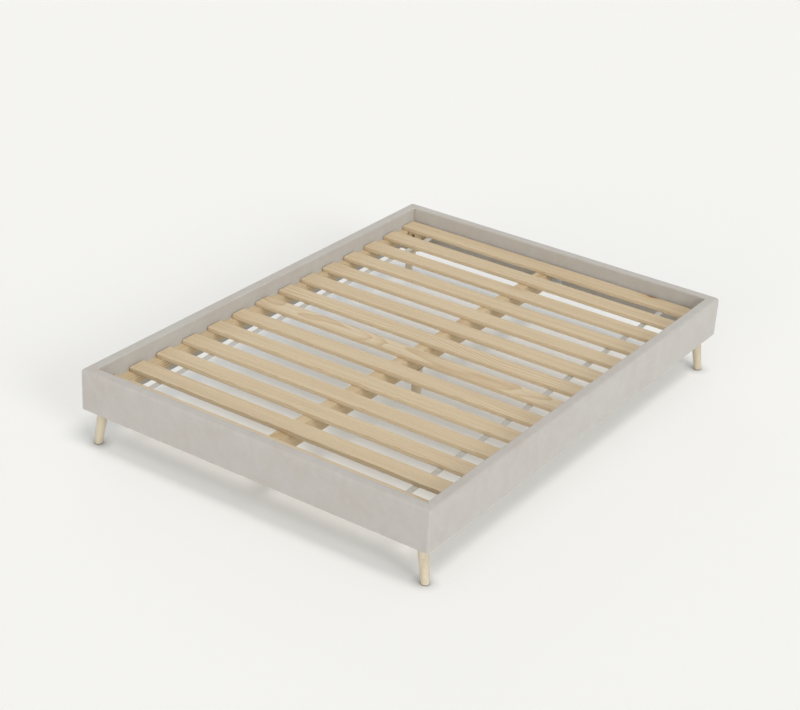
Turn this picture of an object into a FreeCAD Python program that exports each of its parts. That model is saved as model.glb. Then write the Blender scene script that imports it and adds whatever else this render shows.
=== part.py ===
"""An upholstered double bed frame on four splayed wooden legs, for a mattress of 1400 by 2000 mm.

The origin is on the floor, at the centre of the footprint. +X is to the right seen from the foot,
+Y runs from the foot to the head and +Z is up. Every length is in millimetres. An inset is the
distance inwards from an outer side face (along X) or from an outer end face (along Y).
"""

import FreeCAD, Part
import math
import os

V = FreeCAD.Vector
UP = V(0, 0, 1)

# Overall size
WIDTH = 1500.0
LENGTH = 2100.0
RAIL_TOP = 313.0
RAIL_BOTTOM = 148.0

# Upholstered rail, from the outside in: cover, foam, board, cover
COVER = 1.5
FOAM_SIDE = 12.0
FOAM_TOP = 6.0
BOARD = 30.0
RAIL_THICKNESS = 2 * COVER + FOAM_SIDE + BOARD
CORNER_ROUND = 10.0
TOP_ROUND = 9.5
BOTTOM_ROUND = 6.0
INNER_ROUND = 6.0
BOARD_OUTER = COVER + FOAM_SIDE
BOARD_INNER = BOARD_OUTER + BOARD
BOARD_TOP = RAIL_TOP - COVER - FOAM_TOP
BOARD_BOTTOM = RAIL_BOTTOM + COVER
MITRE_REACH = 25.0

# Slatted base
WELL_DEPTH = 58.0
SLAT_THICKNESS = 18.0
SLAT_WIDTH = 78.0
SLAT_COUNT = 14
SLAT_END_GAP = 5.0
SLAT_FIRST_GAP = 12.0
SLAT_ROUND = 3.0
SLAT_TOP = RAIL_TOP - WELL_DEPTH
SLAT_BOTTOM = SLAT_TOP - SLAT_THICKNESS
SLAT_LENGTH = WIDTH - 2 * RAIL_THICKNESS - 2 * SLAT_END_GAP
SLAT_SPAN = LENGTH - 2 * RAIL_THICKNESS - 2 * SLAT_FIRST_GAP - SLAT_WIDTH
SLAT_PITCH = SLAT_SPAN / (SLAT_COUNT - 1)
STRAP_WIDTH = 25.0
STRAP_THICKNESS = 1.2
STRAP_FROM_CENTRE = 560.0
STRAP_TAIL = 22.0
TACK_HEAD_RADIUS = 4.5
TACK_HEAD = 1.2
TACK_RADIUS = 1.25
TACK_LENGTH = 13.0

# Corner blocks and the bolts that hold the rails to them
BLOCK = 85.0
BLOCK_BEVEL = 22.0
BOLT_RADIUS = 4.0
BOLT_LENGTH = 80.0
BOLT_HEAD_RADIUS = 6.5
BOLT_HEAD = 8.0
BOLT_SOCKET_FLATS = 6.0
BOLT_SOCKET_DEPTH = 4.0
BOLT_INSET = 100.0
BOLT_STEP = 36.0
SIDE_BOLT_HEIGHT = RAIL_BOTTOM + 18.0
END_BOLT_HEIGHT = SIDE_BOLT_HEIGHT + BOLT_STEP / 2
COUNTERBORE_RADIUS = 9.0
COUNTERBORE_DEPTH = 25.0
WASHER_RADIUS = 8.0
WASHER = 1.6
INSERT_RADIUS = 6.0
INSERT_LENGTH = 20.0

# Legs, leaning outwards mostly to the side
LEG_TOP_INSET_X = 56.0
LEG_TOP_INSET_Y = 57.0
LEG_FOOT_INSET_X = 33.0
LEG_FOOT_INSET_Y = 51.0
LEG_TOP_RADIUS = 20.5
LEG_FOOT_RADIUS = 15.0
LEG_FOOT_ROUND = 2.0
LEG_PLATE_RADIUS = 38.0
LEG_PLATE = 3.0
LEG_PLATE_BEVEL = 1.0
LEG_SCREW_CIRCLE = 30.0
GLIDE_RADIUS = 13.0
GLIDE = 2.0
HANGER_RADIUS = 4.0
HANGER_BELOW = 38.0
HANGER_ABOVE = 22.0

# Countersunk wood screws
SCREW_RADIUS = 2.2
SCREW_HEAD_RADIUS = 4.4
SCREW_HEAD = 2.6
SHORT_SCREW = 22.0
LONG_SCREW = 50.0
SCREW_RECESS_FLATS = 3.0
SCREW_RECESS_DEPTH = 1.6

# Ledgers along the side rails
LEDGER_THICKNESS = 30.0
LEDGER_HEIGHT = 45.0
LEDGER_GAP = 5.0
LEDGER_SCREWS = 7
LEDGER_SCREW_END = 60.0

# Centre beam and its brackets
BEAM_WIDTH = 45.0
BEAM_HEIGHT = 70.0
BEAM_END_GAP = 1.0
BEAM_BOTTOM = SLAT_BOTTOM - BEAM_HEIGHT
BRACKET_SHEET = 2.5
BRACKET_CLEARANCE = 0.3
BRACKET_DEPTH = 40.0
BRACKET_HEIGHT = 60.0
BRACKET_FLANGE = 30.0
BRACKET_SCREW_EDGE = 15.0

# Support leg under the middle of the beam, with its levelling foot
SUPPORT_RADIUS = 19.0
SUPPORT_BOTTOM = 40.0
SUPPORT_PLATE_LENGTH = 100.0
SUPPORT_SCREW_X = 14.0
SUPPORT_SCREW_Y = 40.0
STEM_RADIUS = 4.0
STEM_TOP = 66.0
RUNNING_GAP = 0.05
STEM_TRAVEL = 10.0
STEM_HOLE_RADIUS = 5.0
HEX_FLATS = 13.0
STEM_HEX_BOTTOM = 8.4
STEM_HEX = 6.0
LOCK_NUT = 6.5
PAD_RADIUS = 20.0
PAD_HEIGHT = 8.0
PAD_SOCKET_FLOOR = 3.0
PAD_ROUND = 2.0

RAILS = ("foot", "head", "left", "right")
CORNERS = {
    "foot_left": (-1, -1),
    "foot_right": (1, -1),
    "head_left": (-1, 1),
    "head_right": (1, 1),
}


def at(side, end, inset_x, inset_y, height):
    """A point by its insets; side and end are -1 or 1 for left or right, foot or head."""
    return V(side * (WIDTH / 2 - inset_x), end * (LENGTH / 2 - inset_y), height)


def box_between(low, high):
    """A box between two opposite corners, given in any order."""
    start = V(min(low.x, high.x), min(low.y, high.y), min(low.z, high.z))
    size = V(abs(high.x - low.x), abs(high.y - low.y), abs(high.z - low.z))
    return Part.makeBox(size.x, size.y, size.z, start)


def hexagon(across_flats, height, base, direction):
    """A hexagonal prism that stands on base and rises along direction."""
    corner = across_flats / math.sqrt(3)
    points = [V(corner * math.cos(math.radians(a)), corner * math.sin(math.radians(a)), 0)
              for a in range(0, 361, 60)]
    prism = Part.Face(Part.makePolygon(points)).extrude(V(0, 0, height))
    prism.Placement = FreeCAD.Placement(base, FreeCAD.Rotation(UP, direction))
    return prism


def edges_at_height(shape, height):
    """The edges that lie wholly at one height."""
    return [e for e in shape.Edges
            if abs(e.BoundBox.ZMin - height) < 0.01 and abs(e.BoundBox.ZMax - height) < 0.01]


def upright_edges(shape):
    """The straight vertical edges of a block."""
    return [e for e in shape.Edges
            if e.BoundBox.XLength < 0.01 and e.BoundBox.YLength < 0.01]


def drilled(shape, tools):
    """The shape with a hole for each tool that reaches it."""
    for tool in tools:
        if shape.BoundBox.intersect(tool.BoundBox):
            shape = shape.cut(tool)
    return shape


# ---- rails ----

def rail_layer(skin):
    """The closed ring of all four rails, with skin taken off every outer and inner face."""
    low = at(-1, -1, skin, skin, RAIL_BOTTOM + skin)
    high = at(1, 1, skin, skin, RAIL_TOP - skin)
    block = box_between(low, high)
    block = block.makeFillet(CORNER_ROUND - skin, upright_edges(block))
    block = block.makeFillet(TOP_ROUND - skin, edges_at_height(block, RAIL_TOP - skin))
    block = block.makeFillet(BOTTOM_ROUND - skin, edges_at_height(block, RAIL_BOTTOM + skin))
    inner = RAIL_THICKNESS - skin
    well = box_between(at(-1, -1, inner, inner, 0), at(1, 1, inner, inner, 2 * RAIL_TOP))
    ring = block.cut(well)
    inner_top = [e for e in edges_at_height(ring, RAIL_TOP - skin)
                 if abs(abs(e.CenterOfMass.x) - (WIDTH / 2 - inner)) < 0.01
                 or abs(abs(e.CenterOfMass.y) - (LENGTH / 2 - inner)) < 0.01]
    return ring.makeFillet(INNER_ROUND - skin, inner_top)


def board_ring():
    """The four boards as one ring, before the mitres are cut."""
    outer = box_between(at(-1, -1, BOARD_OUTER, BOARD_OUTER, BOARD_BOTTOM),
                        at(1, 1, BOARD_OUTER, BOARD_OUTER, BOARD_TOP))
    well = box_between(at(-1, -1, BOARD_INNER, BOARD_INNER, 0),
                       at(1, 1, BOARD_INNER, BOARD_INNER, 2 * RAIL_TOP))
    return outer.cut(well)


def mitre_wedge(rail):
    """The space of one rail, bounded by the two 45 degree planes through its corners."""
    out = -MITRE_REACH
    back = RAIL_THICKNESS + MITRE_REACH
    ends = {
        "foot": ((-1, -1), (1, -1)),
        "head": ((1, 1), (-1, 1)),
        "left": ((-1, 1), (-1, -1)),
        "right": ((1, -1), (1, 1)),
    }
    first, second = ends[rail]
    points = [
        at(*first, out, out, 0),
        at(*second, out, out, 0),
        at(*second, back, back, 0),
        at(*first, back, back, 0),
        at(*first, out, out, 0),
    ]
    return Part.Face(Part.makePolygon(points)).extrude(V(0, 0, 2 * RAIL_TOP))


def make_rails(fasteners):
    """Board, foam and cover of each rail; all three are mitred at the corners."""
    outside = rail_layer(0)
    inside = rail_layer(COVER)
    boards = board_ring()
    layers = {
        "board": boards,
        "foam": inside.cut(boards),
        "cover": outside.cut(inside),
    }
    pieces = {}
    for rail in RAILS:
        wedge = mitre_wedge(rail)
        for layer, ring in layers.items():
            pieces[f"{rail}_rail_{layer}"] = drilled(ring.common(wedge), fasteners)
    return pieces


# ---- fasteners ----

def wood_screw(head, direction, length):
    """A countersunk wood screw; head is the centre of its flat top."""
    cone = Part.makeCone(SCREW_HEAD_RADIUS, SCREW_RADIUS, SCREW_HEAD, head, direction)
    shank = Part.makeCylinder(SCREW_RADIUS, length - SCREW_HEAD, head + direction * SCREW_HEAD, direction)
    return cone.fuse(shank).removeSplitter()


def recessed(screw, head, direction):
    """The screw with the driver's recess in its head."""
    return screw.cut(hexagon(SCREW_RECESS_FLATS, SCREW_RECESS_DEPTH, head, direction))


def corner_bolt_seats():
    """Where each corner bolt's washer sits and which way the bolt points."""
    seats = []
    face = RAIL_THICKNESS + BLOCK - COUNTERBORE_DEPTH
    for side, end in CORNERS.values():
        for step in (0, BOLT_STEP):
            seats.append((at(side, end, face, BOLT_INSET, SIDE_BOLT_HEIGHT + step), V(side, 0, 0)))
            seats.append((at(side, end, BOLT_INSET, face, END_BOLT_HEIGHT + step), V(0, end, 0)))
    return seats


def corner_bolt(seat, direction):
    """A socket-head bolt whose head rests on the washer."""
    under_head = seat - direction * WASHER
    head = Part.makeCylinder(BOLT_HEAD_RADIUS, BOLT_HEAD, under_head, -direction)
    shank = Part.makeCylinder(BOLT_RADIUS, BOLT_LENGTH, under_head, direction)
    mouth = under_head - direction * BOLT_HEAD
    socket = hexagon(BOLT_SOCKET_FLATS, BOLT_SOCKET_DEPTH, mouth, direction)
    return head.fuse(shank).removeSplitter().cut(socket)


def corner_washer(seat, direction):
    """A flat washer under a bolt head."""
    disc = Part.makeCylinder(WASHER_RADIUS, WASHER, seat, -direction)
    return disc.cut(Part.makeCylinder(BOLT_RADIUS, WASHER, seat, -direction))


def corner_insert(seat, direction):
    """A threaded insert in the rail board, around the end of a bolt."""
    board_face = seat + direction * (BLOCK - COUNTERBORE_DEPTH + COVER)
    body = Part.makeCylinder(INSERT_RADIUS, INSERT_LENGTH, board_face, direction)
    return body.cut(Part.makeCylinder(BOLT_RADIUS, INSERT_LENGTH, board_face, direction))


def bolt_hole(seat, direction):
    """The counterbored hole that a corner bolt needs in its block."""
    bore = Part.makeCylinder(COUNTERBORE_RADIUS, COUNTERBORE_DEPTH, seat, -direction)
    return bore.fuse(Part.makeCylinder(BOLT_RADIUS, BLOCK, seat, direction))


# ---- corners and legs ----

def make_corner_block(side, end, cutters):
    """A solid block in the corner of the well, bevelled on its free upright edge."""
    near = at(side, end, RAIL_THICKNESS, RAIL_THICKNESS, RAIL_BOTTOM)
    far = at(side, end, RAIL_THICKNESS + BLOCK, RAIL_THICKNESS + BLOCK, SLAT_BOTTOM)
    block = box_between(near, far)
    free_edge = [e for e in upright_edges(block)
                 if abs(e.CenterOfMass.x - far.x) < 0.01 and abs(e.CenterOfMass.y - far.y) < 0.01]
    return drilled(block.makeChamfer(BLOCK_BEVEL, free_edge), cutters)


def leg_axis(side, end):
    """The leg's centre at the rail, its centre at the floor, and the direction up the leg."""
    top = at(side, end, LEG_TOP_INSET_X, LEG_TOP_INSET_Y, RAIL_BOTTOM)
    foot = at(side, end, LEG_FOOT_INSET_X, LEG_FOOT_INSET_Y, 0)
    return top, foot, (top - foot).normalize()


def make_leg(side, end, hanger):
    """A round tapered leg, cut level under the plate and on the glide."""
    top, foot, up_leg = leg_axis(side, end)
    length = (top - foot).Length
    taper = (LEG_TOP_RADIUS - LEG_FOOT_RADIUS) / length
    spare = 2 * LEG_TOP_RADIUS * math.tan(math.acos(up_leg.z))
    cone = Part.makeCone(LEG_FOOT_RADIUS - taper * spare, LEG_TOP_RADIUS + taper * spare,
                         length + 2 * spare, foot - up_leg * spare, up_leg)
    level = box_between(V(foot.x - LENGTH, foot.y - LENGTH, GLIDE),
                        V(foot.x + LENGTH, foot.y + LENGTH, RAIL_BOTTOM - LEG_PLATE))
    leg = cone.common(level)
    leg = leg.makeFillet(LEG_FOOT_ROUND, edges_at_height(leg, GLIDE))
    return leg.cut(hanger)


def hanger_bolt(top, up_leg):
    """A double-ended bolt between a leg and what it is screwed to."""
    return Part.makeCylinder(HANGER_RADIUS, HANGER_BELOW + HANGER_ABOVE,
                             top - up_leg * HANGER_BELOW, up_leg)


def leg_plate_screw_heads(side, end):
    """The four screw places on the underside of a round leg plate."""
    top = leg_axis(side, end)[0]
    under = top - UP * LEG_PLATE
    reach = LEG_SCREW_CIRCLE
    return [under + V(reach, 0, 0), under - V(reach, 0, 0), under + V(0, reach, 0), under - V(0, reach, 0)]


def make_leg_plate(side, end, cutters):
    """The round steel plate that a leg is screwed into."""
    top = leg_axis(side, end)[0]
    plate = Part.makeCylinder(LEG_PLATE_RADIUS, LEG_PLATE, top - UP * LEG_PLATE)
    plate = plate.makeChamfer(LEG_PLATE_BEVEL, edges_at_height(plate, RAIL_BOTTOM - LEG_PLATE))
    return drilled(plate, cutters)


def make_glide(side, end):
    """The felt disc under a leg."""
    foot = leg_axis(side, end)[1]
    return Part.makeCylinder(GLIDE_RADIUS, GLIDE, foot)


# ---- ledgers, beam and support leg ----

def ledger_screw_places():
    """Head point and direction of every screw through the two ledgers."""
    reach = LENGTH / 2 - RAIL_THICKNESS - BLOCK - LEDGER_GAP - LEDGER_SCREW_END
    face = WIDTH / 2 - RAIL_THICKNESS - LEDGER_THICKNESS
    height = SLAT_BOTTOM - LEDGER_HEIGHT / 2
    places = []
    for side in (-1, 1):
        for n in range(LEDGER_SCREWS):
            along = -reach + 2 * reach * n / (LEDGER_SCREWS - 1)
            places.append((V(side * face, along, height), V(side, 0, 0)))
    return places


def make_ledger(side, cutters):
    """The batten on the inner face of a side rail, which carries the slat ends."""
    end_inset = RAIL_THICKNESS + BLOCK + LEDGER_GAP
    low = at(side, -1, RAIL_THICKNESS, end_inset, SLAT_BOTTOM - LEDGER_HEIGHT)
    high = at(side, 1, RAIL_THICKNESS + LEDGER_THICKNESS, end_inset, SLAT_BOTTOM)
    return drilled(box_between(low, high), cutters)


def make_beam(cutters):
    """The timber beam along the middle of the bed."""
    end = LENGTH / 2 - RAIL_THICKNESS - BEAM_END_GAP
    beam = box_between(V(-BEAM_WIDTH / 2, -end, BEAM_BOTTOM), V(BEAM_WIDTH / 2, end, SLAT_BOTTOM))
    return drilled(beam, cutters)


def bracket_screw_places(end):
    """Head point and direction of the screws in a beam bracket's flanges and cheeks."""
    inner = BEAM_WIDTH / 2 + BRACKET_CLEARANCE
    flange_x = inner + BRACKET_SHEET + BRACKET_FLANGE / 2
    flange_y = end * (LENGTH / 2 - RAIL_THICKNESS - BRACKET_SHEET)
    cheek_x = inner + BRACKET_SHEET
    cheek_y = end * (LENGTH / 2 - RAIL_THICKNESS - BRACKET_DEPTH / 2)
    heights = (BEAM_BOTTOM + BRACKET_SCREW_EDGE, BEAM_BOTTOM + BRACKET_HEIGHT - BRACKET_SCREW_EDGE)
    places = []
    for side in (-1, 1):
        for height in heights:
            places.append((V(side * flange_x, flange_y, height), V(0, end, 0)))
        middle = sum(heights) / 2 + side * BRACKET_SCREW_EDGE / 2
        places.append((V(side * cheek_x, cheek_y, middle), V(-side, 0, 0)))
    return places


def make_bracket(end, cutters):
    """A bent steel hanger: a U under the beam's end with a flange on each side."""
    inner = BEAM_WIDTH / 2 + BRACKET_CLEARANCE
    outer = inner + BRACKET_SHEET
    rail_face = end * (LENGTH / 2 - RAIL_THICKNESS)
    flange_back = rail_face - end * BRACKET_SHEET
    open_end = rail_face - end * BRACKET_DEPTH
    floor = BEAM_BOTTOM - BRACKET_SHEET
    top = BEAM_BOTTOM + BRACKET_HEIGHT
    bracket = box_between(V(-outer, rail_face, floor), V(outer, open_end, BEAM_BOTTOM))
    for side in (-1, 1):
        cheek = box_between(V(side * inner, rail_face, floor), V(side * outer, open_end, top))
        flange = box_between(V(side * inner, rail_face, floor),
                             V(side * (outer + BRACKET_FLANGE), flange_back, top))
        bracket = bracket.fuse(cheek).fuse(flange)
    return drilled(bracket.removeSplitter(), cutters)


def support_screw_heads():
    """The four screw places on the underside of the support leg's plate."""
    under = BEAM_BOTTOM - LEG_PLATE
    return [V(x, y, under)
            for x in (-SUPPORT_SCREW_X, SUPPORT_SCREW_X)
            for y in (-SUPPORT_SCREW_Y, SUPPORT_SCREW_Y)]


def make_support(hangers, screws):
    """The support leg under the beam and its levelling foot, standing on the floor at the centre."""
    leg = Part.makeCylinder(SUPPORT_RADIUS, BEAM_BOTTOM - LEG_PLATE - SUPPORT_BOTTOM, UP * SUPPORT_BOTTOM)
    insert_seat = Part.makeCylinder(INSERT_RADIUS, INSERT_LENGTH, UP * SUPPORT_BOTTOM)
    stem_room = Part.makeCylinder(STEM_HOLE_RADIUS, STEM_TOP + 1.5 * STEM_TRAVEL - SUPPORT_BOTTOM,
                                  UP * SUPPORT_BOTTOM)
    bore = Part.makeCylinder(STEM_RADIUS + RUNNING_GAP, STEM_TOP)
    plate = box_between(V(-BEAM_WIDTH / 2, -SUPPORT_PLATE_LENGTH / 2, BEAM_BOTTOM - LEG_PLATE),
                        V(BEAM_WIDTH / 2, SUPPORT_PLATE_LENGTH / 2, BEAM_BOTTOM))
    stem = Part.makeCylinder(STEM_RADIUS, STEM_TOP - PAD_SOCKET_FLOOR, UP * PAD_SOCKET_FLOOR)
    stem_hex = hexagon(HEX_FLATS, STEM_HEX, UP * STEM_HEX_BOTTOM, UP)
    pad = Part.makeCylinder(PAD_RADIUS, PAD_HEIGHT)
    pad = pad.makeFillet(PAD_ROUND, edges_at_height(pad, PAD_HEIGHT))
    socket = Part.makeCylinder(STEM_RADIUS + RUNNING_GAP, PAD_HEIGHT, UP * PAD_SOCKET_FLOOR)
    return {
        "support_leg": drilled(leg.cut(insert_seat).cut(stem_room), hangers),
        "support_leg_plate": drilled(plate, hangers + screws),
        "support_insert": insert_seat.cut(bore),
        "support_lock_nut": hexagon(HEX_FLATS, LOCK_NUT, UP * (SUPPORT_BOTTOM - LOCK_NUT), UP).cut(bore),
        "support_stem": stem.fuse(stem_hex).removeSplitter(),
        "support_foot_pad": pad.cut(socket),
    }


# ---- slatted base ----

def slat_centre(n):
    """How far along Y the middle of slat n lies, counted from the foot."""
    return -SLAT_SPAN / 2 + n * SLAT_PITCH


def make_tacks():
    """A domed tack up through each crossing of a strap and a slat."""
    tacks = []
    under = SLAT_BOTTOM - STRAP_THICKNESS
    for side in (-1, 1):
        for n in range(SLAT_COUNT):
            seat = V(side * STRAP_FROM_CENTRE, slat_centre(n), under)
            head = Part.makeCylinder(TACK_HEAD_RADIUS, TACK_HEAD, seat, -UP)
            head = head.makeFillet(TACK_HEAD / 2, edges_at_height(head, under - TACK_HEAD))
            tacks.append(head.fuse(Part.makeCylinder(TACK_RADIUS, TACK_LENGTH, seat)).removeSplitter())
    return tacks


def make_slat(n, cutters):
    """One slat with eased long edges."""
    half = SLAT_LENGTH / 2
    centre = slat_centre(n)
    slat = box_between(V(-half, centre - SLAT_WIDTH / 2, SLAT_BOTTOM), V(half, centre + SLAT_WIDTH / 2, SLAT_TOP))
    long_edges = [e for e in slat.Edges if e.BoundBox.XLength > SLAT_WIDTH]
    return drilled(slat.makeFillet(SLAT_ROUND, long_edges), cutters)


def make_strap(side, cutters):
    """The webbing strap under the slats, which keeps them apart."""
    middle = side * STRAP_FROM_CENTRE
    reach = SLAT_SPAN / 2 + STRAP_TAIL
    strap = box_between(V(middle - STRAP_WIDTH / 2, -reach, SLAT_BOTTOM - STRAP_THICKNESS),
                        V(middle + STRAP_WIDTH / 2, reach, SLAT_BOTTOM))
    return drilled(strap, cutters)


def make_pieces():
    """Every node of the bed frame by name."""
    seats = corner_bolt_seats()
    bolts = [corner_bolt(*seat) for seat in seats]
    bolt_rods = [Part.makeCylinder(BOLT_RADIUS, BLOCK, *seat) for seat in seats]
    insert_seats = [Part.makeCylinder(INSERT_RADIUS, INSERT_LENGTH,
                                      seat + way * (BLOCK - COUNTERBORE_DEPTH + COVER), way)
                    for seat, way in seats]
    bolt_holes = [bolt_hole(*seat) for seat in seats]
    hangers = []
    for side, end in CORNERS.values():
        top, _, up_leg = leg_axis(side, end)
        hangers.append(hanger_bolt(top, up_leg))
    support_hanger = hanger_bolt(UP * BEAM_BOTTOM, UP)

    leg_heads = [(head, UP) for corner in CORNERS.values() for head in leg_plate_screw_heads(*corner)]
    ledger_heads = ledger_screw_places()
    bracket_heads = bracket_screw_places(-1) + bracket_screw_places(1)
    support_heads = [(head, UP) for head in support_screw_heads()]
    leg_screws = [wood_screw(head, way, SHORT_SCREW) for head, way in leg_heads]
    ledger_screws = [wood_screw(head, way, LONG_SCREW) for head, way in ledger_heads]
    bracket_screws = [wood_screw(head, way, SHORT_SCREW) for head, way in bracket_heads]
    support_screws = [wood_screw(head, way, SHORT_SCREW) for head, way in support_heads]
    tacks = make_tacks()

    in_rails = bolt_rods + insert_seats + leg_screws + ledger_screws + bracket_screws
    pieces = make_rails(in_rails)
    for (name, corner), hanger in zip(CORNERS.items(), hangers):
        pieces[f"corner_block_{name}"] = make_corner_block(*corner, bolt_holes + leg_screws + hangers)
        pieces[f"leg_{name}"] = make_leg(*corner, hanger)
    pieces["left_ledger"] = make_ledger(-1, ledger_screws)
    pieces["right_ledger"] = make_ledger(1, ledger_screws)
    pieces["centre_beam"] = make_beam(bracket_screws + support_screws + [support_hanger])
    pieces["foot_beam_bracket"] = make_bracket(-1, bracket_screws)
    pieces["head_beam_bracket"] = make_bracket(1, bracket_screws)
    pieces.update(make_support([support_hanger], support_screws))
    for n in range(SLAT_COUNT):
        pieces[f"slat_{n + 1:02d}"] = make_slat(n, tacks)
    pieces["left_strap"] = make_strap(-1, tacks)
    pieces["right_strap"] = make_strap(1, tacks)

    def with_recess(screws, places):
        return [recessed(screw, *place) for screw, place in zip(screws, places)]

    groups = {
        "corner_bolts": bolts,
        "corner_washers": [corner_washer(*seat) for seat in seats],
        "corner_inserts": [corner_insert(*seat) for seat in seats],
        "hanger_bolts": hangers + [support_hanger],
        "leg_plates": [make_leg_plate(*corner, hangers + leg_screws) for corner in CORNERS.values()],
        "leg_plate_screws": with_recess(leg_screws, leg_heads),
        "leg_glides": [make_glide(*corner) for corner in CORNERS.values()],
        "ledger_screws": with_recess(ledger_screws, ledger_heads),
        "beam_bracket_screws": with_recess(bracket_screws, bracket_heads),
        "support_plate_screws": with_recess(support_screws, support_heads),
        "strap_tacks": tacks,
    }
    for name, solids in groups.items():
        pieces[name] = Part.makeCompound(solids)
    return pieces


def main():
    os.makedirs("parts", exist_ok=True)
    for name, shape in make_pieces().items():
        shape.exportStep(f"parts/{name}.step")
        print(name, len(shape.Solids), round(shape.Volume), shape.isValid())


main()
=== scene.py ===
"""Looks of the upholstered bed frame: padded rail covers, timber, steel, webbing, floor, light and camera."""

import math

import bpy
import numpy as np
from mathutils import Matrix, Vector, noise


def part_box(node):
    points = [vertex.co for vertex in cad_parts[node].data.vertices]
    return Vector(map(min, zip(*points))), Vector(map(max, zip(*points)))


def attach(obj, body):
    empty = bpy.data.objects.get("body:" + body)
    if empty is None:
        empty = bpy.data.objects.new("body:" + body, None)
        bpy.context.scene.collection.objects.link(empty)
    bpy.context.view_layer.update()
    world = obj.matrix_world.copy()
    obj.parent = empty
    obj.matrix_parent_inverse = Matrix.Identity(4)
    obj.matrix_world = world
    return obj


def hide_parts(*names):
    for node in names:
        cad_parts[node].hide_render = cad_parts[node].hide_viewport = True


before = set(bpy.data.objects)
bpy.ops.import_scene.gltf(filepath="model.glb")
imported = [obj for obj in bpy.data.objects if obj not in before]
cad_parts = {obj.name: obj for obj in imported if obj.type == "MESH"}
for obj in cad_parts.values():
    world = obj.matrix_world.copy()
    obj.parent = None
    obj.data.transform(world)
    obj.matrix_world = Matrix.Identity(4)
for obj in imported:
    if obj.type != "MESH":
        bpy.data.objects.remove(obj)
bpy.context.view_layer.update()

MM = 0.001

# ---- rails: the CAD model's outline, with a softer edge between face and top ----
RAILS = ("foot", "right", "head", "left")
CORNERS = ("foot_left", "foot_right", "head_left", "head_right")
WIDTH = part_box("right_rail_cover")[1].x * 2
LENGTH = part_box("head_rail_cover")[1].y * 2
RAIL_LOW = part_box("foot_rail_cover")[0].z
RAIL_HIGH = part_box("foot_rail_cover")[1].z
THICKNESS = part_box("left_rail_cover")[1].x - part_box("left_rail_cover")[0].x
CORNER_ROUND = 10 * MM
TOP_ROUND = 12.5 * MM
BOTTOM_ROUND = 6 * MM
INNER_ROUND = 6 * MM
HEM_ROUND = 3 * MM
BOARD_OUTER = 13.5 * MM
BOARD_INNER = 43.5 * MM
BOARD_TOP = RAIL_HIGH - 7.5 * MM
BOARD_BOTTOM = RAIL_LOW + 1.5 * MM

# ---- how the covers are meshed and stuffed ----
# A skin is how far a surface starts inside its CAD place: padded where it will swell, tight where it won't.
COVER_THICKNESS = 1.2 * MM
ARC_POINTS = 5
OUTLINE_STEP = 9 * MM
STATION_STEP = 12 * MM
NEAR_CORNER = [u * MM for u in (0, 1.2, 2.6, 4.5, 7.5, 11.8, 17, 24, 33, 45)]
SEAM_HELD = NEAR_CORNER[1]
PADDED_SKIN = 1.0 * MM
TIGHT_SKIN = 0.2 * MM
PUFF_CAP = 3.0 * MM
PUFF_FRAMES = 16
PUFF_PRESSURE = 0.1
SEAM_DEPTH = 0.9 * MM
SEAM_WIDTH = 3.2 * MM
WAVE_DEPTH = 0.35 * MM
WAVE_SIZE = 0.11
FOAM_CLEARANCE = 0.3 * MM
FOAM_SKIN = PADDED_SKIN + SEAM_DEPTH + COVER_THICKNESS + FOAM_CLEARANCE

# ---- staples; each is skewed a little, by a slope that changes from one to the next ----
STAPLE_STEP = 42 * MM
STAPLE_CROWN = 10.5 * MM
STAPLE_WIRE = 0.55 * MM
STAPLE_SHOULDER = 0.2 * STAPLE_WIRE
STAPLE_PROUD = 0.7 * STAPLE_WIRE
STAPLE_LEG = 2.5 * MM
STAPLE_INSET = THICKNESS - 9 * MM
STAPLE_FROM_CORNER = 110 * MM
STAPLE_SKEW = 0.12
STAPLE_SKEW_TURN = 2.4

# ---- webbing; its section is an ellipse squared up by an exponent ----
STRAP_STEP = 6 * MM
STRAP_SAG = 1.6 * MM
STRAP_AROUND = 14
STRAP_SQUARENESS = 0.35

# ---- wood; a wave texture at scale 1 repeats every WAVE_PERIOD metres ----
LEG_TOP_RADIUS = 20.5 * MM
WAVE_PERIOD = 0.314
ALONG_Y = (0, 0, math.radians(90))
UPRIGHT = (0, math.radians(90), 0)
WHITE = (1, 1, 1)


# ---- mesh helpers ----

def mesh_object(name, verts, faces, smooth=True):
    """A mesh object made from a list of points and a list of faces."""
    mesh = bpy.data.meshes.new(name)
    mesh.from_pydata([tuple(v) for v in verts], [], faces)
    mesh.update()
    mesh.polygons.foreach_set("use_smooth", [smooth] * len(mesh.polygons))
    piece = bpy.data.objects.new(name, mesh)
    bpy.context.scene.collection.objects.link(piece)
    return piece


def bake_modifiers(piece):
    """The piece's mesh becomes what its modifiers make of it."""
    seen = piece.evaluated_get(bpy.context.evaluated_depsgraph_get())
    mesh = bpy.data.meshes.new_from_object(seen)
    piece.modifiers.clear()
    piece.data = mesh


def rows_of(items, key):
    """One vector from each item, as an array of rows."""
    flat = np.zeros(len(items) * 3)
    items.foreach_get(key, flat)
    return flat.reshape(-1, 3)


def points_of(piece):
    """The piece's vertices as an array of rows."""
    return rows_of(piece.data.vertices, "co")


def set_points(piece, points):
    """Moves the piece's vertices."""
    piece.data.vertices.foreach_set("co", np.asarray(points, np.float32).ravel())
    piece.data.update()


def normals_of(piece):
    """The piece's vertex normals as an array of rows."""
    return rows_of(piece.data.vertex_normals, "vector")


def set_material(piece, material):
    """Gives the piece one material and no other."""
    piece.data.materials.clear()
    piece.data.materials.append(material)


def finish_piece(piece, material, body, nodes=()):
    """Gives a new piece its material, its body and the CAD nodes that it stands for."""
    set_material(piece, material)
    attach(piece, body)
    if nodes:
        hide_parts(*nodes)


# ---- rail sections and sleeves ----

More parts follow.
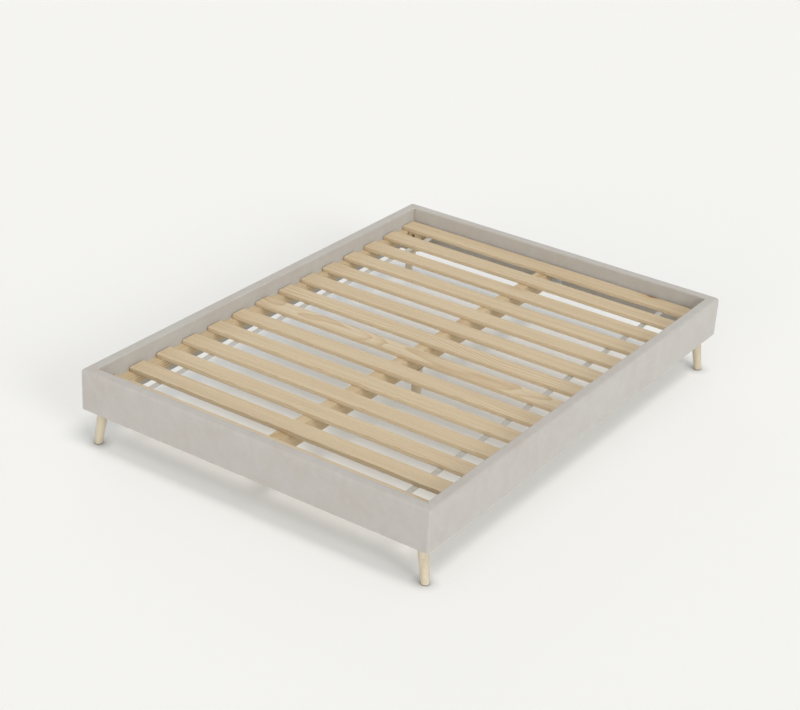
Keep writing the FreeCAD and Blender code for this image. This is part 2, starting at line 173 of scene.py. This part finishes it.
def arc(inset, height, radius, start):
    """A quarter of a circle in a rail's section; angle 0 points out of the bed and 90 points up."""
    angles = [math.radians(start + 90 * n / (ARC_POINTS - 1)) for n in range(ARC_POINTS)]
    return [(inset - radius * math.cos(a), height + radius * math.sin(a)) for a in angles]


def filled(outline, step):
    """A closed outline with extra points along its long straight runs."""
    points = []
    for start, end in zip(outline, outline[1:] + outline[:1]):
        run = math.dist(start, end)
        cuts = max(1, round(run / step))
        for n in range(cuts):
            share = n / cuts
            points.append((start[0] + (end[0] - start[0]) * share, start[1] + (end[1] - start[1]) * share))
    return points


def cover_outline():
    """Section of a rail's cover as (inset, height) points, drawn in a little where it will swell."""
    front, high = PADDED_SKIN, RAIL_HIGH - PADDED_SKIN
    back, low = THICKNESS - TIGHT_SKIN, RAIL_LOW + TIGHT_SKIN
    corners = (
        arc(front + BOTTOM_ROUND, low + BOTTOM_ROUND, BOTTOM_ROUND, -90)
        + arc(front + TOP_ROUND, high - TOP_ROUND, TOP_ROUND, 0)
        + arc(back - INNER_ROUND, high - INNER_ROUND, INNER_ROUND, 90)
        + arc(back - HEM_ROUND, low + HEM_ROUND, HEM_ROUND, 180)
    )
    return filled(corners, OUTLINE_STEP)


def foam_outline():
    """Section of a rail's foam: a strip outside the board that turns over its top."""
    front, high = FOAM_SKIN, RAIL_HIGH - FOAM_SKIN
    low = BOARD_BOTTOM + TIGHT_SKIN
    top, bottom = TOP_ROUND - FOAM_SKIN, BOTTOM_ROUND - FOAM_SKIN
    corners = (
        arc(front + bottom, low + bottom, bottom, -90)
        + arc(front + top, high - top, top, 0)
        + [(BOARD_INNER - TIGHT_SKIN, high), (BOARD_INNER - TIGHT_SKIN, BOARD_TOP)]
        + [(BOARD_OUTER, BOARD_TOP), (BOARD_OUTER, low)]
    )
    return filled(corners, OUTLINE_STEP)


def half_stations(inset, half):
    """Along and inset of every station from a rail's mitre to its middle, for one line of the section."""
    radius = max(CORNER_ROUND - inset, 0)
    centre = inset + radius
    stations = []
    for u in NEAR_CORNER:
        if u < radius * math.pi / 4:
            angle = math.pi / 4 - u / radius
            stations.append((half - centre + radius * math.sin(angle), centre - radius * math.cos(angle)))
        else:
            stations.append((half - centre - (u - radius * math.pi / 4), inset))
    last = stations[-1][0]
    count = round((half - THICKNESS) / STATION_STEP)
    stations += [(last * (1 - n / count), inset) for n in range(1, count + 1)]
    return stations


def rail_frame(rail):
    """Half the rail's length, the middle of its outer face, the way along it and the way into the bed."""
    return {
        "foot": (WIDTH / 2, Vector((0, -LENGTH / 2, 0)), Vector((1, 0, 0)), Vector((0, 1, 0))),
        "right": (LENGTH / 2, Vector((WIDTH / 2, 0, 0)), Vector((0, 1, 0)), Vector((-1, 0, 0))),
        "head": (WIDTH / 2, Vector((0, LENGTH / 2, 0)), Vector((-1, 0, 0)), Vector((0, -1, 0))),
        "left": (LENGTH / 2, Vector((-WIDTH / 2, 0, 0)), Vector((0, -1, 0)), Vector((1, 0, 0))),
    }[rail]


def sleeve(name, rail, outline, capped):
    """Sweeps an outline along a rail, from mitre to mitre."""
    half, middle, along, inward = rail_frame(rail)
    lines = []
    for inset, height in outline:
        stations = half_stations(inset, half)
        full = [(-a, d) for a, d in stations] + [(a, d) for a, d in reversed(stations[:-1])]
        lines.append([middle + along * a + inward * d + Vector((0, 0, height)) for a, d in full])
    count, around = len(lines[0]), len(lines)
    verts = [lines[k][n] for n in range(count) for k in range(around)]
    faces = []
    for n in range(count - 1):
        near, far = n * around, (n + 1) * around
        for k in range(around):
            after = (k + 1) % around
            faces.append((near + k, far + k, far + after, near + after))
    if capped:
        faces.append(tuple(range(around)))
        faces.append(tuple((count - 1) * around + k for k in reversed(range(around))))
    return mesh_object(name, verts, faces)


def distance_to_mitre(points):
    """How far each point lies from the nearest 45 degree plane through a corner."""
    return np.abs((WIDTH / 2 - np.abs(points[:, 0])) - (LENGTH / 2 - np.abs(points[:, 1]))) / math.sqrt(2)


# ---- padded covers ----

def puff(piece, held):
    """Cloth simulation: the held points stay where they are and the rest swells over the foam."""
    start = points_of(piece)
    group = piece.vertex_groups.new(name="held")
    for index in np.flatnonzero(held):
        group.add([int(index)], 1.0, "REPLACE")
    cloth = piece.modifiers.new("cloth", "CLOTH")
    cloth.settings.vertex_group_mass = "held"
    cloth.settings.quality = 4
    cloth.settings.mass = 0.4
    cloth.settings.tension_stiffness = 30
    cloth.settings.compression_stiffness = 30
    cloth.settings.shear_stiffness = 10
    cloth.settings.bending_stiffness = 4
    cloth.settings.use_pressure = True
    cloth.settings.uniform_pressure_force = PUFF_PRESSURE
    cloth.settings.effector_weights.gravity = 0
    cloth.collision_settings.use_collision = False
    cloth.point_cache.frame_start = 1
    cloth.point_cache.frame_end = PUFF_FRAMES
    for step in range(1, PUFF_FRAMES + 1):
        bpy.context.scene.frame_set(step)
    bake_modifiers(piece)
    bpy.context.scene.frame_set(1)
    piece.vertex_groups.clear()
    move = points_of(piece) - start
    length = np.linalg.norm(move, axis=1)
    scale = np.minimum(1, PUFF_CAP / np.maximum(length, 1e-9))
    set_points(piece, start + move * scale[:, None])


def soft_waves(piece):
    """Draws the cover in along its corner seams and lets its face wander a little between them."""
    points, normals = points_of(piece), normals_of(piece)
    seam = SEAM_DEPTH * np.exp(-((distance_to_mitre(points) / SEAM_WIDTH) ** 2))
    wave = np.array([noise.noise(Vector(p) / WAVE_SIZE) for p in points]) * WAVE_DEPTH
    set_points(piece, points + normals * (wave - seam)[:, None])


def make_cover(rail, fabric):
    """One rail's fabric cover, held at its corner seams and inside the board while the rest swells."""
    outline = cover_outline()
    piece = sleeve(f"{rail}_cover", rail, outline, capped=False)
    around = len(outline)
    points = points_of(piece)
    at_seam = distance_to_mitre(points) < SEAM_HELD
    inset = np.tile([p[0] for p in outline], len(points) // around)
    height = np.tile([p[1] for p in outline], len(points) // around)
    stapled = (inset > THICKNESS / 2) & (height < RAIL_HIGH - TOP_ROUND)
    puff(piece, at_seam | stapled)
    soft_waves(piece)
    smooth = piece.modifiers.new("smooth", "SUBSURF")
    smooth.levels = 1
    smooth.render_levels = 1
    shell = piece.modifiers.new("cloth_thickness", "SOLIDIFY")
    shell.thickness = COVER_THICKNESS
    shell.offset = -1
    bake_modifiers(piece)
    piece.data.polygons.foreach_set("use_smooth", [True] * len(piece.data.polygons))
    finish_piece(piece, fabric, "frame", [f"{rail}_rail_cover"])


def make_foam(rail, foam):
    """One rail's foam, under the cover."""
    piece = sleeve(f"{rail}_foam", rail, foam_outline(), capped=True)
    finish_piece(piece, foam, "frame", [f"{rail}_rail_foam"])


def make_staples(rail, zinc):
    """The row of staples that holds the cover's edge to the underside of the board."""
    half, middle, along, inward = rail_frame(rail)
    reach = half - STAPLE_FROM_CORNER
    count = round(2 * reach / STAPLE_STEP) + 1
    down = Vector((0, 0, -1))
    verts, faces = [], []
    for n in range(count):
        centre = middle + along * (-reach + 2 * reach * n / (count - 1)) + inward * STAPLE_INSET
        centre.z = RAIL_LOW + TIGHT_SKIN
        skew = STAPLE_SKEW * abs(math.cos(n * STAPLE_SKEW_TURN)) * (1 if n % 2 else -1)
        across = (along + inward * skew).normalized()
        end = across * STAPLE_CROWN / 2
        bend = across * (STAPLE_CROWN / 2 - STAPLE_WIRE)
        path = [
            centre - end - down * STAPLE_LEG,
            centre - end + down * STAPLE_SHOULDER,
            centre - bend + down * STAPLE_PROUD,
            centre + bend + down * STAPLE_PROUD,
            centre + end + down * STAPLE_SHOULDER,
            centre + end - down * STAPLE_LEG,
        ]
        add_wire(verts, faces, path, across.cross(down).normalized(), STAPLE_WIRE)
    piece = mesh_object(f"{rail}_staples", verts, faces)
    finish_piece(piece, zinc, "frame")


def add_wire(verts, faces, path, sideways, width):
    """Adds a flat wire, two widths wide and one thick, along a path in the plane square to sideways."""
    start = len(verts)
    for n, point in enumerate(path):
        before, after = path[max(n - 1, 0)], path[min(n + 1, len(path) - 1)]
        outward = sideways.cross((after - before).normalized())
        for side, lift in ((-1, -0.5), (1, -0.5), (1, 0.5), (-1, 0.5)):
            verts.append(point + sideways * side * width + outward * lift * width)
    for n in range(len(path) - 1):
        for k in range(4):
            low, high = start + n * 4 + k, start + n * 4 + (k + 1) % 4
            faces.append((low, high, high + 4, low + 4))
    last = start + (len(path) - 1) * 4
    faces.append((start + 3, start + 2, start + 1, start))
    faces.append((last, last + 1, last + 2, last + 3))


def squared(value):
    """A sine or cosine pushed towards 1 or -1, which squares up an ellipse."""
    return math.copysign(abs(value) ** STRAP_SQUARENESS, value)


def make_strap(name, webbing):
    """A woven strap under the slats, which hangs a little between them."""
    low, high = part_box(name)
    slats = sorted(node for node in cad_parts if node.startswith("slat_"))
    centres = [sum(corner.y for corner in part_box(node)) / 2 for node in slats]
    width, thickness = high.x - low.x, high.z - low.z
    half_slat = (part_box(slats[0])[1].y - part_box(slats[0])[0].y) / 2
    pitch = centres[1] - centres[0]
    count = round((high.y - low.y) / STRAP_STEP)
    middle_x, middle_z = (low.x + high.x) / 2, (low.z + high.z) / 2
    verts, faces = [], []
    for n in range(count + 1):
        y = low.y + (high.y - low.y) * n / count
        gap = min(abs(y - c) for c in centres) - half_slat
        share = max(0.0, gap / (pitch / 2 - half_slat)) if centres[0] < y < centres[-1] else 0.0
        drop = STRAP_SAG * math.sin(min(share, 1.0) * math.pi / 2) ** 2
        for k in range(STRAP_AROUND):
            angle = 2 * math.pi * (k + 0.5) / STRAP_AROUND
            across = squared(math.cos(angle)) * width / 2
            up = squared(math.sin(angle)) * thickness / 2
            verts.append((middle_x + across, y, middle_z + up - drop))
    for n in range(count):
        near, far = n * STRAP_AROUND, (n + 1) * STRAP_AROUND
        for k in range(STRAP_AROUND):
            after = (k + 1) % STRAP_AROUND
            faces.append((near + k, near + after, far + after, far + k))
    faces.append(tuple(reversed(range(STRAP_AROUND))))
    faces.append(tuple(count * STRAP_AROUND + k for k in range(STRAP_AROUND)))
    piece = mesh_object(f"{name}_webbing", verts, faces)
    finish_piece(piece, webbing, "slat_base", [name])


# ---- materials ----

class Shader:
    """A node material that is built up step by step around one Principled shader."""

    def __init__(self, name, **constants):
        self.material = bpy.data.materials.new(name)
        self.material.use_nodes = True
        self.tree = self.material.node_tree
        self.bsdf = self.tree.nodes["Principled BSDF"]
        self.height = None
        for socket, value in constants.items():
            self.bsdf.inputs[socket.replace("_", " ")].default_value = value

    def add(self, kind, settings=None, **inputs):
        """A new node; inputs are socket names with values or with the sockets that feed them."""
        node = self.tree.nodes.new(kind)
        for key, value in (settings or {}).items():
            setattr(node, key, value)
        for key, value in inputs.items():
            self.feed(node.inputs[key.replace("_", " ")], value)
        return node

    def feed(self, socket, value):
        """Joins a socket to another, or sets its value."""
        if isinstance(value, bpy.types.NodeSocket):
            self.tree.links.new(value, socket)
        else:
            socket.default_value = value

    def mapped(self, place, **settings):
        """Coordinates after a Rotation or a Scale."""
        return self.add("ShaderNodeMapping", Vector=place, **settings).outputs[0]

    def place(self, scale=(1, 1, 1), rotation=(0, 0, 0)):
        """The object's own coordinates, turned and then stretched."""
        coords = self.add("ShaderNodeTexCoord").outputs["Object"]
        return self.mapped(self.mapped(coords, Rotation=rotation), Scale=scale)

    def noise(self, place, size, detail=3.0, roughness=0.5, distortion=0.0):
        """Noise with features of about the given size in metres."""
        return self.add("ShaderNodeTexNoise", Vector=place, Scale=1 / size, Detail=detail,
                        Roughness=roughness, Distortion=distortion).outputs[0]

    def wave(self, settings, **inputs):
        """The height of a wave texture, which is its second output."""
        return self.add("ShaderNodeTexWave", settings, **inputs).outputs[1]

    def ramp(self, factor, *stops):
        """Colours along a factor; each stop is (position, colour)."""
        node = self.add("ShaderNodeValToRGB", Fac=factor)
        band = node.color_ramp
        while len(band.elements) < len(stops):
            band.elements.new(0.5)
        for element, (position, colour) in zip(band.elements, stops):
            element.position = position
            element.color = (*colour, 1.0)
        return node.outputs[0]

    def grey(self, factor, low, high, start=0.0, end=1.0):
        """A factor spread between two numbers."""
        return self.add("ShaderNodeMapRange", Value=factor, From_Min=start, From_Max=end,
                        To_Min=low, To_Max=high).outputs[0]

    def multiply(self, first, second):
        """Two colours multiplied; sockets 6 and 7 are the node's colours, and output 2 is the result."""
        node = self.add("ShaderNodeMix", {"data_type": "RGBA", "blend_type": "MULTIPLY"})
        self.feed(node.inputs[0], 1.0)
        self.feed(node.inputs[6], first)
        self.feed(node.inputs[7], second)
        return node.outputs[2]

    def vector(self, operation, *terms):
        """Arithmetic on vectors."""
        node = self.add("ShaderNodeVectorMath", {"operation": operation})
        for socket, term in zip(node.inputs, terms):
            self.feed(socket, term)
        return node.outputs[0]

    def maths(self, operation, first, second):
        """Arithmetic on two numbers."""
        node = self.add("ShaderNodeMath", {"operation": operation})
        self.feed(node.inputs[0], first)
        self.feed(node.inputs[1], second)
        return node.outputs[0]

    def bump(self, height, depth, strength=1.0):
        """Adds one more layer of relief, depth metres high."""
        node = self.add("ShaderNodeBump", Height=height, Distance=depth, Strength=strength)
        if self.height is not None:
            self.feed(node.inputs["Normal"], self.height)
        self.height = node.outputs[0]
        self.feed(self.bsdf.inputs["Normal"], self.height)

    def colour(self, socket):
        """Feeds the base colour."""
        self.feed(self.bsdf.inputs["Base Color"], socket)

    def roughness(self, socket):
        """Feeds the roughness."""
        self.feed(self.bsdf.inputs["Roughness"], socket)


def velvet_material():
    """Pale brushed velvet: clouded where the nap has been stroked, with a fine pile."""
    s = Shader("rail_velvet", Sheen_Weight=0.3, Sheen_Roughness=0.5, Specular_IOR_Level=0.15)
    s.bsdf.inputs["Sheen Tint"].default_value = (1.0, 0.97, 0.94, 1.0)
    place = s.place()
    clouds = s.noise(place, size=0.22, detail=3, roughness=0.5, distortion=0.8)
    slanted = s.place(scale=(1, 1, 0.8), rotation=(0.4, 0.3, 0.2))
    strokes = s.noise(slanted, size=0.055, detail=3, roughness=0.62, distortion=1.1)
    pile = s.noise(place, size=0.0011, detail=2, roughness=0.6)
    tone = s.ramp(clouds, (0.34, (0.530, 0.500, 0.468)), (0.5, (0.537, 0.516, 0.494)),
                  (0.66, (0.543, 0.528, 0.498)))
    stroked = s.multiply(tone, s.ramp(strokes, (0.36, (0.958, 0.948, 0.928)), (0.62, WHITE)))
    s.colour(s.multiply(stroked, s.ramp(pile, (0.3, (0.92, 0.915, 0.905)), (0.62, WHITE))))
    s.roughness(s.grey(strokes, 0.78, 0.95))
    s.bump(strokes, depth=0.0004, strength=0.3)
    s.bump(pile, depth=0.00025, strength=0.6)
    return s.material


def wood_material(name, pale, dark, ring, turn=(0, 0, 0), pith=0.09, roughness=0.5, figure=0.012, knots=0.0):
    """Timber with its grain along X before it is turned: growth rings, fibres and short flecks.

    ring is the width of a growth ring, pith how far off the rings' centre is and figure how far the rings
    wander, all in metres. knots is about how many there are in a metre.
    """
    s = Shader(name, Specular_IOR_Level=0.35)
    own = s.add("ShaderNodeObjectInfo").outputs["Random"]
    shift = s.add("ShaderNodeCombineXYZ", X=s.grey(own, 0, 7), Y=s.grey(own, -0.05, 0.05),
                  Z=s.grey(own, pith, pith * 1.8)).outputs[0]
    coords = s.add("ShaderNodeTexCoord").outputs["Object"]
    moved = s.vector("ADD", s.mapped(coords, Rotation=turn), shift)
    slow = s.mapped(moved, Scale=(0.35, 1, 1))
    wander = s.add("ShaderNodeTexNoise", Vector=slow, Scale=4.0, Detail=2.0).outputs["Color"]
    figured = s.vector("MULTIPLY_ADD", wander, (0, figure * 2, figure * 2), moved)
    rings = s.wave({"wave_type": "RINGS", "rings_direction": "X", "wave_profile": "SAW"},
                   Vector=figured, Scale=WAVE_PERIOD / ring, Distortion=0.6, Detail=2.0, Detail_Scale=3.0)
    long_place = s.mapped(moved, Scale=(0.03, 1, 1))
    fleck_place = s.mapped(moved, Scale=(0.14, 1, 1))
    fibres = s.noise(long_place, size=0.0011, detail=4, roughness=0.65)
    flecks = s.noise(fleck_place, size=0.0007, detail=1, roughness=0.4)
    streaks = s.noise(long_place, size=0.018, detail=3, roughness=0.5)
    middle = tuple(p * 0.75 + d * 0.25 for p, d in zip(pale, dark))
    base = s.ramp(rings, (0.0, pale), (0.55, middle), (0.93, dark), (1.0, pale))
    base = s.multiply(base, s.ramp(streaks, (0.32, (0.9, 0.87, 0.83)), (0.68, WHITE)))
    base = s.multiply(base, s.ramp(fibres, (0.34, (0.9, 0.88, 0.85)), (0.6, WHITE)))
    if knots:
        knot_place = s.mapped(moved, Scale=(0.7, 1.25, 0.4))
        cells = s.add("ShaderNodeTexVoronoi", Vector=knot_place, Scale=knots).outputs["Distance"]
        base = s.multiply(base, s.ramp(cells, (0.02, (0.35, 0.2, 0.1)), (0.045, (0.62, 0.45, 0.3)),
                                       (0.06, (0.9, 0.84, 0.76)), (0.16, WHITE)))
    s.colour(s.multiply(base, s.ramp(flecks, (0.3, (0.86, 0.82, 0.77)), (0.4, WHITE))))
    s.roughness(s.grey(fibres, roughness - 0.06, roughness + 0.12))
    s.bump(fibres, depth=0.0002, strength=0.5)
    s.bump(flecks, depth=0.0001, strength=0.4)
    return s.material


def zinc_material():
    """Zinc-plated steel with faint spangle and handling marks."""
    s = Shader("zinc_plated_steel", Metallic=1.0)
    place = s.place()
    patches = s.noise(place, size=0.006, detail=4, roughness=0.6)
    scratches = s.noise(s.place(scale=(1, 0.05, 1)), size=0.0006, detail=3, roughness=0.6)
    s.colour(s.ramp(patches, (0.3, (0.56, 0.57, 0.58)), (0.7, (0.74, 0.74, 0.71))))
    s.roughness(s.grey(patches, 0.28, 0.46, 0.3, 0.7))
    s.bump(scratches, depth=0.00005, strength=0.4)
    return s.material


def powder_coat_material():
    """Black powder-coated steel with a fine orange-peel skin."""
    s = Shader("black_powder_coat", Specular_IOR_Level=0.5)
    place = s.place()
    peel = s.noise(place, size=0.0012, detail=2, roughness=0.5)
    dust = s.noise(place, size=0.02, detail=4, roughness=0.6)
    s.colour(s.ramp(dust, (0.35, (0.018, 0.018, 0.019)), (0.7, (0.035, 0.034, 0.033))))
    s.roughness(s.grey(dust, 0.38, 0.55, 0.3, 0.7))
    s.bump(peel, depth=0.00012, strength=0.5)
    return s.material


def brass_material():
    """Brass-plated tacks, dulled in patches."""
    s = Shader("brass_plate", Metallic=1.0)
    tarnish = s.noise(s.place(), size=0.003, detail=4, roughness=0.6)
    s.colour(s.ramp(tarnish, (0.35, (0.42, 0.28, 0.1)), (0.65, (0.78, 0.58, 0.26))))
    s.roughness(s.grey(tarnish, 0.24, 0.45, 0.35, 0.65))
    return s.material


def foam_material():
    """Open-cell upholstery foam."""
    s = Shader("foam", Specular_IOR_Level=0.1, Sheen_Weight=0.1)
    place = s.place()
    cells = s.add("ShaderNodeTexVoronoi", {"feature": "F1"}, Vector=place, Scale=900.0).outputs["Distance"]
    yellowing = s.noise(place, size=0.09, detail=3, roughness=0.5)
    tone = s.ramp(yellowing, (0.3, (0.78, 0.72, 0.52)), (0.7, (0.84, 0.8, 0.66)))
    s.colour(s.multiply(tone, s.ramp(cells, (0.1, (0.7, 0.66, 0.55)), (0.5, WHITE))))
    s.roughness(s.grey(yellowing, 0.88, 0.98))
    s.bump(cells, depth=0.0005, strength=0.8)
    return s.material


def felt_material():
    """Brown pressed wool felt."""
    s = Shader("felt", Specular_IOR_Level=0.1, Sheen_Weight=0.3)
    place = s.place()
    fibres = s.noise(place, size=0.0008, detail=5, roughness=0.7, distortion=1.2)
    s.colour(s.ramp(fibres, (0.3, (0.20, 0.13, 0.075)), (0.7, (0.36, 0.25, 0.15))))
    s.roughness(s.grey(fibres, 0.88, 1.0))
    s.bump(fibres, depth=0.0004, strength=0.7)
    return s.material


def plastic_material():
    """Black moulded plastic with a spark-eroded texture."""
    s = Shader("foot_plastic", Specular_IOR_Level=0.4)
    place = s.place()
    grain = s.noise(place, size=0.0007, detail=3, roughness=0.6)
    scuffs = s.noise(place, size=0.01, detail=4, roughness=0.6)
    s.colour(s.ramp(scuffs, (0.35, (0.022, 0.022, 0.023)), (0.7, (0.045, 0.044, 0.043))))
    s.roughness(s.grey(scuffs, 0.42, 0.62, 0.3, 0.7))
    s.bump(grain, depth=0.0001, strength=0.5)
    return s.material


def webbing_material():
    """Woven polyester webbing: ribs across the strap, warp threads along it."""
    s = Shader("webbing", Specular_IOR_Level=0.25, Sheen_Weight=0.15)
    place = s.place()
    weft = s.wave({"wave_type": "BANDS", "bands_direction": "Y"},
                  Vector=place, Scale=260.0, Distortion=0.6, Detail=1.0)
    warp = s.wave({"wave_type": "BANDS", "bands_direction": "X"},
                  Vector=place, Scale=200.0, Distortion=0.6, Detail=1.0)
    weave = s.maths("MULTIPLY", weft, warp)
    soil = s.noise(place, size=0.05, detail=4, roughness=0.6)
    tone = s.ramp(soil, (0.3, (0.7, 0.685, 0.64)), (0.7, (0.8, 0.79, 0.76)))
    s.colour(s.multiply(tone, s.ramp(weave, (0.05, (0.62, 0.6, 0.56)), (0.5, WHITE))))
    s.roughness(s.grey(weave, 0.7, 0.9))
    s.bump(weave, depth=0.0003, strength=0.7)
    return s.material


def leg_material(corner):
    """Pale lacquered beech whose grain follows one splayed leg."""
    low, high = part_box(f"leg_{corner}")
    lean = math.atan2((high.x - low.x) - 2 * LEG_TOP_RADIUS, high.z - low.z)
    side = math.copysign(1, low.x + high.x)
    turn = (0, math.radians(90) - side * lean, 0)
    return wood_material(f"leg_beech_{corner}", pale=(0.72, 0.65, 0.52), dark=(0.67, 0.595, 0.455),
                         ring=0.0035, turn=turn, roughness=0.40, figure=0.004)


def paint(node, material):
    """Gives a CAD node its material."""
    set_material(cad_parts[node], material)


def dress_timber():
    """Slats, boards, blocks, ledgers, beam and legs."""
    slat = wood_material("slat_pine", pale=(0.76, 0.645, 0.465), dark=(0.61, 0.46, 0.28),
                         ring=0.0042, figure=0.03, knots=2.6)
    sawn = {
        "pale": (0.73, 0.60, 0.41),
        "dark": (0.57, 0.42, 0.24),
        "ring": 0.005,
        "roughness": 0.6,
        "knots": 2.2,
    }
    pine_x = wood_material("pine_x", **sawn)
    pine_y = wood_material("pine_y", **sawn, turn=ALONG_Y)
    beech = wood_material("support_beech", pale=(0.72, 0.63, 0.47), dark=(0.62, 0.52, 0.36),
                          ring=0.0035, turn=UPRIGHT, roughness=0.45, figure=0.004)
    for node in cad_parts:
        if node.startswith("slat_"):
            paint(node, slat)
        elif node in ("left_ledger", "right_ledger", "centre_beam", "left_rail_board", "right_rail_board"):
            paint(node, pine_y)
        elif node.startswith("corner_block_") or node.endswith("_rail_board"):
            paint(node, pine_x)
    for corner in CORNERS:
        paint(f"leg_{corner}", leg_material(corner))
    paint("support_leg", beech)


def dress_hardware(zinc):
    """Bolts, screws, plates, brackets, tacks, glides and the plastic pad."""
    for node in ("corner_bolts", "corner_washers", "corner_inserts", "hanger_bolts", "leg_plate_screws",
                 "ledger_screws", "beam_bracket_screws", "support_plate_screws", "support_insert",
                 "support_lock_nut", "support_stem", "foot_beam_bracket", "head_beam_bracket"):
        paint(node, zinc)
    coat = powder_coat_material()
    paint("leg_plates", coat)
    paint("support_leg_plate", coat)
    paint("strap_tacks", brass_material())
    paint("leg_glides", felt_material())
    paint("support_foot_pad", plastic_material())


# ---- camera ----

CAMERA_PLACE = Vector((3.2867, -5.1965, 3.3165))
CAMERA_TURN = math.radians(32.961)
CAMERA_PITCH = math.radians(26.840)
CAMERA_ROLL = math.radians(3.528)
CAMERA_LENS = 81.39
CAMERA_CLIP = 100


def make_camera():
    """A long lens from the foot's right-hand corner, rolled slightly."""
    ahead = Vector((-math.sin(CAMERA_TURN) * math.cos(CAMERA_PITCH),
                    math.cos(CAMERA_TURN) * math.cos(CAMERA_PITCH),
                    -math.sin(CAMERA_PITCH)))
    level = ahead.cross(Vector((0, 0, 1))).normalized()
    above = level.cross(ahead)
    right = level * math.cos(CAMERA_ROLL) + above * math.sin(CAMERA_ROLL)
    up = above * math.cos(CAMERA_ROLL) - level * math.sin(CAMERA_ROLL)
    data = bpy.data.cameras.new("camera")
    data.lens = CAMERA_LENS
    data.clip_end = CAMERA_CLIP
    camera = bpy.data.objects.new("camera", data)
    camera.matrix_world = Matrix((
        (right.x, up.x, -ahead.x, CAMERA_PLACE.x),
        (right.y, up.y, -ahead.y, CAMERA_PLACE.y),
        (right.z, up.z, -ahead.z, CAMERA_PLACE.z),
        (0, 0, 0, 1),
    ))
    bpy.context.scene.collection.objects.link(camera)
    bpy.context.scene.camera = camera


# ---- floor, backdrop and lights ----

FLOOR_COLOUR = (0.83, 0.80, 0.775)
FLOOR_GLOW = (0.13, 0.16, 0.175)
# painted contact shade on the floor: how far it reaches and how dark it gets
CONTACT_REACH = 48 * MM
CONTACT_SHADE = (0.35, 0.35, 0.35)
BACKDROP_RADIUS = 45
BACKDROP_HEIGHT = 16
BACKDROP_SIDES = 64
BACKDROP_GLOW = (0.90, 0.90, 0.87)
SKY_COLOUR = (1.0, 0.995, 0.985)
SKY_STRENGTH = 0.5
# A sun is its name, energy, colour, the way to it and its spread in degrees.
SUNS = (
    ("top_light", 0.86, (1.0, 0.975, 0.93), (0.31, -0.08, 0.95), 20),
    ("right_light", 0.95, (0.96, 0.99, 1.0), (1.0, -0.35, 0.45), 24),
    ("foot_light", 0.64, (1.0, 0.955, 0.90), (0.1, -1.0, 0.22), 30),
    ("back_light", 0.30, (1.0, 0.98, 0.96), (-0.8, 0.75, 0.28), 40),
)


def make_floor():
    """A plain pale floor that glows a little, so shadows stay light; painted contact shade darkens its colour
    and glow where something touches it.
    """
    size = BACKDROP_RADIUS
    floor = mesh_object("floor", [(-size, -size, 0), (size, -size, 0), (size, size, 0), (-size, size, 0)],
                        [(0, 1, 2, 3)], smooth=False)
    s = Shader("floor", Roughness=0.9, Specular_IOR_Level=0.0)
    open_air = s.add("ShaderNodeAmbientOcclusion", {"samples": 8}, Distance=CONTACT_REACH).outputs["AO"]
    # painted contact shade: the ambient-occlusion value darkens the floor's colour and its glow near whatever
    # touches it
    shade = s.ramp(open_air, (0.45, CONTACT_SHADE), (0.98, WHITE))
    s.colour(s.multiply(shade, (*FLOOR_COLOUR, 1)))
    s.feed(s.bsdf.inputs["Emission Color"], s.multiply(shade, (*FLOOR_GLOW, 1)))
    s.bsdf.inputs["Emission Strength"].default_value = 1.0
    floor.data.materials.append(s.material)


def make_backdrop():
    """A pale wall far away all round, which neither lights the bed nor shades it."""
    turns = [2 * math.pi * n / BACKDROP_SIDES for n in range(BACKDROP_SIDES)]
    ring = [(BACKDROP_RADIUS * math.cos(a), BACKDROP_RADIUS * math.sin(a)) for a in turns]
    verts = [(x, y, z) for z in (0, BACKDROP_HEIGHT) for x, y in ring]
    faces = []
    for n in range(BACKDROP_SIDES):
        after = (n + 1) % BACKDROP_SIDES
        faces.append((n, after, after + BACKDROP_SIDES, n + BACKDROP_SIDES))
    wall = mesh_object("backdrop", verts, faces)
    s = Shader("backdrop", Roughness=1.0, Specular_IOR_Level=0.0, Emission_Strength=1.0)
    s.bsdf.inputs["Base Color"].default_value = (0, 0, 0, 1)
    s.bsdf.inputs["Emission Color"].default_value = (*BACKDROP_GLOW, 1)
    wall.data.materials.append(s.material)
    wall.visible_diffuse = False
    wall.visible_glossy = False
    wall.visible_shadow = False


def make_light():
    """An even pale sky, a soft light from above, warm and cool ones from the sides and a weak one behind."""
    world = bpy.data.worlds.new("sky")
    world.use_nodes = True
    sky = world.node_tree.nodes["Background"]
    sky.inputs["Color"].default_value = (*SKY_COLOUR, 1)
    sky.inputs["Strength"].default_value = SKY_STRENGTH
    bpy.context.scene.world = world
    for name, energy, colour, source, spread in SUNS:
        sun = bpy.data.lights.new(name, "SUN")
        sun.energy = energy
        sun.color = colour
        sun.angle = math.radians(spread)
        lamp = bpy.data.objects.new(name, sun)
        lamp.rotation_euler = Vector(source).to_track_quat("Z", "Y").to_euler()
        bpy.context.scene.collection.objects.link(lamp)


bpy.context.scene.view_settings.view_transform = "Standard"
make_camera()
make_floor()
make_backdrop()
make_light()
velvet, foam, zinc, webbing = velvet_material(), foam_material(), zinc_material(), webbing_material()
for rail in RAILS:
    make_cover(rail, velvet)
    make_foam(rail, foam)
    make_staples(rail, zinc)
for strap in ("left_strap", "right_strap"):
    make_strap(strap, webbing)
dress_timber()
dress_hardware(zinc)
